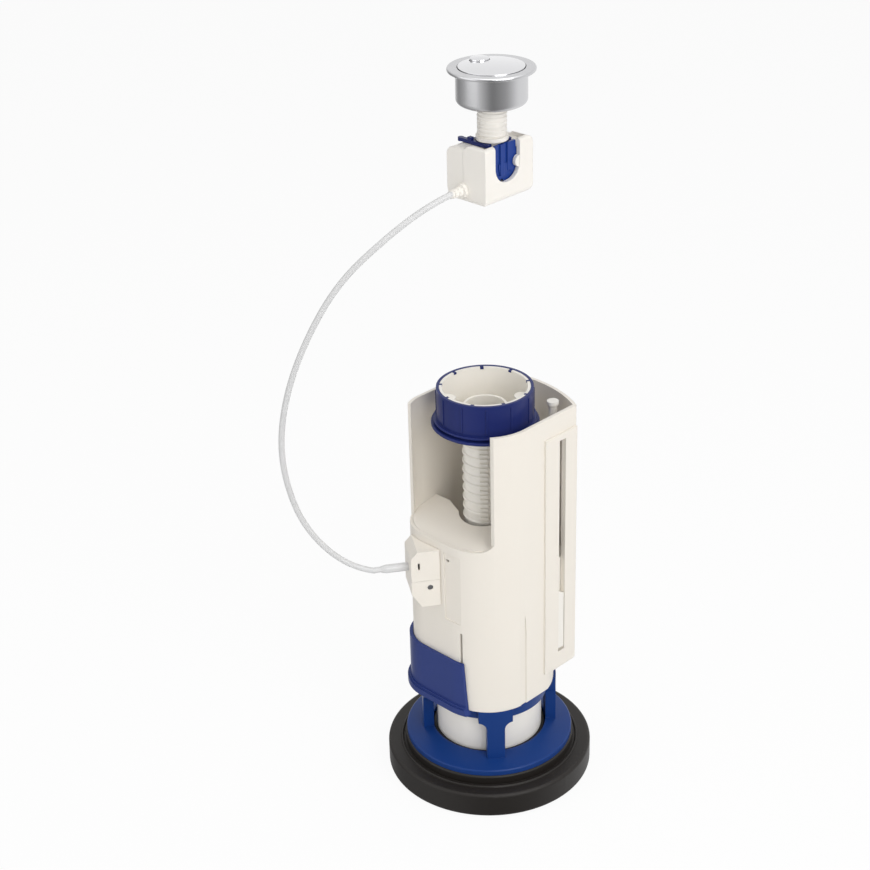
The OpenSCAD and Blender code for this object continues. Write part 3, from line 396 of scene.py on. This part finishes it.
def sector_mesh(name, size):
    """A flat sector about a pin along X: its corner, an arc, and the same again one thickness further."""
    turn = [math.radians(size["from"] + (size["to"] - size["from"]) * i / size["steps"])
            for i in range(size["steps"] + 1)]
    outline = [(0, 0)] + [(size["radius"] * math.cos(a), size["radius"] * math.sin(a)) for a in turn]
    points = [Vector((x, PIN.y + y, PIN.z + z)) * MM for x in size["x"] for y, z in outline]
    count = len(outline)
    sides = [(i, (i + 1) % count, (i + 1) % count + count, i + count) for i in range(count)]
    mesh = bpy.data.meshes.new(name)
    mesh.from_pydata(points, [], [tuple(reversed(range(count))), tuple(range(count, 2 * count))] + sides)
    mesh.materials.append(rocker_blue)
    return mesh


quadrant = bpy.data.objects.new("quadrant_face", sector_mesh("quadrant_face", SECTOR))
bpy.context.collection.objects.link(quadrant)
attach(quadrant, "small_rocker")
print("quadrant face:", len(quadrant.data.polygons), "faces")

# %% [markdown]
# ## Helices: the stem's thread and the springs
# The stem is screwed into the button's cup, so that the actuator can be set to any lid. Its thread is
# coarse and round, as threads moulded in plastic are. A screw thread and a coil spring are the same line,
# a helix, swept with a round section; only the numbers differ. So one geometry tree winds both, and puts
# a copy at each place that it is given.
#
# The springs stand between the cup and the buttons. They get shorter as a button goes down.

# %% Thread and springs
STEM_THREAD = {"places": [(4, 4, 413.4)], "radius": 7.45, "height": 16.2, "turns": 7.0, "wire": 0.8}
LARGE_SPRINGS = {"places": [(12, -5.5, 434.1), (12, 13.5, 434.1)], "radius": 3.5, "height": 13.8,
                 "turns": 6.0, "wire": 0.5}
SMALL_SPRING = {"places": [(-7.2, 6.7, 431.6)], "radius": 3.5, "height": 6.2, "turns": 3.0, "wire": 0.5}


def coil_tree(name, material, sizes):
    """A round bar wound as a helix, one at each point that the tree is given."""
    tree = new_tree(name)
    for key, value in sizes.items():
        number_input(tree, key, value)
    into = add(tree, "NodeGroupInput")
    spiral = add(tree, "GeometryNodeCurveSpiral", {"Resolution": 40})
    section = add(tree, "GeometryNodeCurvePrimitiveCircle", {"Resolution": 10})
    sweep = add(tree, "GeometryNodeCurveToMesh", {"Fill Caps": True})
    rounded = add(tree, "GeometryNodeSetShadeSmooth")
    place = add(tree, "GeometryNodeInstanceOnPoints")
    for source, socket in (("Turns", "Rotations"), ("Radius", "Start Radius"), ("Radius", "End Radius"),
                           ("Height", "Height")):
        tree.links.new(into.outputs[source], spiral.inputs[socket])
    tree.links.new(into.outputs["Wire"], section.inputs["Radius"])
    tree.links.new(spiral.outputs["Curve"], sweep.inputs["Curve"])
    tree.links.new(section.outputs["Curve"], sweep.inputs["Profile Curve"])
    tree.links.new(sweep.outputs["Mesh"], rounded.inputs[0])
    tree.links.new(rounded.outputs[0], place.inputs["Instance"])
    chain(tree, into, place, add(tree, "GeometryNodeRealizeInstances"),
          add(tree, "GeometryNodeSetMaterial", {"Material": material}))
    return tree


def wind(name, material, slot, places, radius, height, turns, wire):
    """Helices that stand on places in millimetres, as one piece."""
    sizes = {"Radius": radius * MM, "Height": height * MM, "Turns": turns, "Wire": wire * MM}
    return grow(name, coil_tree(name + "_coil", material, sizes), "frame", sizes,
                [Vector(place) * MM for place in places])


wind("stem_thread", case_white, "white_plastic", **STEM_THREAD)
large = wind("large_springs", steel, "steel", **LARGE_SPRINGS)
small = wind("small_spring", steel, "steel", **SMALL_SPRING)

for spring, node_name, joint, foot, room, travel in (
        (large, "full_springs", "full_press", 433.5, 15.0, 6.6),
        (small, "half_spring", "half_press", 431.0, 7.4, 3.621)):
    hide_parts(node_name)
    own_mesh(spring)
    print(spring.name, "keeps", round((room - travel) / room, 2), "of its length at the end of", joint)

# %% [markdown]
# ## Studio
# The picture is a cut-out on pure white: soft light from all round, a large light from the upper right
# that leaves the tower's left flank a shade darker, and no hard shadow. The background is fully white
# only to the camera, so that the object is lit mainly by the lamps and not by the backdrop.
#
# Brushed metal shows the room round it. A studio tent is white except where the camera looks in and where
# its back corner lies in shade, so the walls that reflections see are written as a ring of greys by
# heading. Above them the tent is nearly white. The floor has one side only, so that the valve's foot can
# be looked at from below.

# %% Lamps
CENTRE = (0, 0, 0.2)


def area_light(name, place, size, power):
    """A soft square lamp that faces the middle of the tower."""
    data = bpy.data.lights.new(name, "AREA")
    data.shape = "SQUARE"
    data.size = size
    data.energy = power
    lamp = bpy.data.objects.new(name, data)
    lamp.location = place
    lamp.rotation_euler = (Vector(CENTRE) - Vector(place)).to_track_quat("-Z", "Y").to_euler()
    bpy.context.collection.objects.link(lamp)


area_light("key_right", (1.1, -0.3, 0.8), 0.9, 8.5)
area_light("fill_left", (-0.5, -1.2, 0.6), 1.2, 3.6)
area_light("top", (0.1, 0.1, 1.5), 1.2, 6.0)
print("lamps:", len(bpy.data.lights))

# %% World
OVERHEAD = 0.9
WALLS = {-175: 0.3, -125: 0.6, -95: 0.8, -47: 0.2, 0: 0.4, 45: 1.0, 150: 1.0, 179: 0.3}
ROUND_LIGHT = 0.4


def wall_greys(tree):
    """The tent's walls as greys by heading, going to a paler grey overhead."""
    place = add(tree, "ShaderNodeTexCoord")
    parts = add(tree, "ShaderNodeSeparateXYZ")
    heading = add(tree, "ShaderNodeMath", operation="ARCTAN2")
    share = add(tree, "ShaderNodeMapRange", {"From Min": -math.pi, "From Max": math.pi})
    ramp = add(tree, "ShaderNodeValToRGB")
    height = add(tree, "ShaderNodeMapRange", {"From Min": 0.1, "From Max": 0.4})
    mix = add(tree, "ShaderNodeMix", data_type="RGBA")
    mix.inputs["B"].default_value = (OVERHEAD, OVERHEAD, OVERHEAD, 1)
    stops = ramp.color_ramp.elements
    while len(stops) < len(WALLS):
        stops.new(0.5)
    for stop, (angle, grey) in zip(stops, sorted(WALLS.items())):
        stop.position = (angle + 180) / 360
        stop.color = (grey, grey, grey, 1)
    tree.links.new(place.outputs["Generated"], parts.inputs["Vector"])
    tree.links.new(parts.outputs["Y"], heading.inputs[0])
    tree.links.new(parts.outputs["X"], heading.inputs[1])
    tree.links.new(heading.outputs["Value"], share.inputs["Value"])
    tree.links.new(share.outputs["Result"], ramp.inputs["Fac"])
    tree.links.new(parts.outputs["Z"], height.inputs["Value"])
    tree.links.new(height.outputs["Result"], mix.inputs["Factor"])
    tree.links.new(ramp.outputs["Color"], mix.inputs["A"])
    return mix.outputs["Result"]


def make_world():
    """White to the camera, the tent's greys in reflections, and a little light from all round."""
    world = bpy.data.worlds.new("studio")
    bpy.context.scene.world = world
    world.use_nodes = True
    tree = world.node_tree
    tree.nodes.clear()
    rays = add(tree, "ShaderNodeLightPath")
    lit = add(tree, "ShaderNodeBackground", {"Color": (1, 1, 1, 1), "Strength": ROUND_LIGHT})
    seen = add(tree, "ShaderNodeBackground", {"Color": (1, 1, 1, 1), "Strength": 1.0})
    mirrored = add(tree, "ShaderNodeBackground", {"Strength": 1.0})
    by_glossy = add(tree, "ShaderNodeMixShader")
    by_camera = add(tree, "ShaderNodeMixShader")
    out = add(tree, "ShaderNodeOutputWorld")
    tree.links.new(wall_greys(tree), mirrored.inputs["Color"])
    tree.links.new(rays.outputs["Is Glossy Ray"], by_glossy.inputs["Fac"])
    tree.links.new(lit.outputs["Background"], by_glossy.inputs[1])
    tree.links.new(mirrored.outputs["Background"], by_glossy.inputs[2])
    tree.links.new(rays.outputs["Is Camera Ray"], by_camera.inputs["Fac"])
    tree.links.new(by_glossy.outputs["Shader"], by_camera.inputs[1])
    tree.links.new(seen.outputs["Background"], by_camera.inputs[2])
    tree.links.new(by_camera.outputs["Shader"], out.inputs["Surface"])


make_world()
print("world: white to the camera,", len(WALLS), "greys round the walls")

# %% Floor
FLOOR_REACH = 40
FLOOR_Z = -0.0005
FLOOR_GREY = 0.9
FLOOR_GLOW = 0.93


def floor_finish():
    """Nearly white to the camera, with a faint shadow, and clear to reflections and from below."""
    material = bpy.data.materials.new("pale_floor")
    material.use_nodes = True
    tree = material.node_tree
    shader = tree.nodes["Principled BSDF"]
    shader.inputs["Base Color"].default_value = (FLOOR_GREY, FLOOR_GREY, FLOOR_GREY, 1)
    shader.inputs["Roughness"].default_value = 0.9
    shader.inputs["Specular IOR Level"].default_value = 0.0
    rays = add(tree, "ShaderNodeLightPath")
    share = add(tree, "ShaderNodeMath", operation="MULTIPLY")
    share.inputs[1].default_value = FLOOR_GLOW
    glow = add(tree, "ShaderNodeEmission", {"Color": (1, 1, 1, 1), "Strength": 1.0})
    clear = add(tree, "ShaderNodeBsdfTransparent")
    side = add(tree, "ShaderNodeNewGeometry")
    hidden = add(tree, "ShaderNodeMath", operation="MAXIMUM")
    by_camera = add(tree, "ShaderNodeMixShader")
    by_side = add(tree, "ShaderNodeMixShader")
    tree.links.new(rays.outputs["Is Camera Ray"], share.inputs[0])
    tree.links.new(share.outputs["Value"], by_camera.inputs["Fac"])
    tree.links.new(shader.outputs["BSDF"], by_camera.inputs[1])
    tree.links.new(glow.outputs["Emission"], by_camera.inputs[2])
    tree.links.new(rays.outputs["Is Glossy Ray"], hidden.inputs[0])
    tree.links.new(side.outputs["Backfacing"], hidden.inputs[1])
    tree.links.new(hidden.outputs["Value"], by_side.inputs["Fac"])
    tree.links.new(by_camera.outputs["Shader"], by_side.inputs[1])
    tree.links.new(clear.outputs["BSDF"], by_side.inputs[2])
    tree.links.new(by_side.outputs["Shader"], tree.nodes["Material Output"].inputs["Surface"])
    return material


def make_floor():
    """One wide square under the seal."""
    corners = [(-1, -1), (1, -1), (1, 1), (-1, 1)]
    mesh = bpy.data.meshes.new("floor")
    mesh.from_pydata([(x * FLOOR_REACH, y * FLOOR_REACH, FLOOR_Z) for x, y in corners], [], [(0, 1, 2, 3)])
    mesh.materials.append(floor_finish())
    floor = bpy.data.objects.new("floor", mesh)
    bpy.context.collection.objects.link(floor)


make_floor()
bpy.context.scene.view_settings.view_transform = "Standard"
print("floor:", 2 * FLOOR_REACH, "m wide")
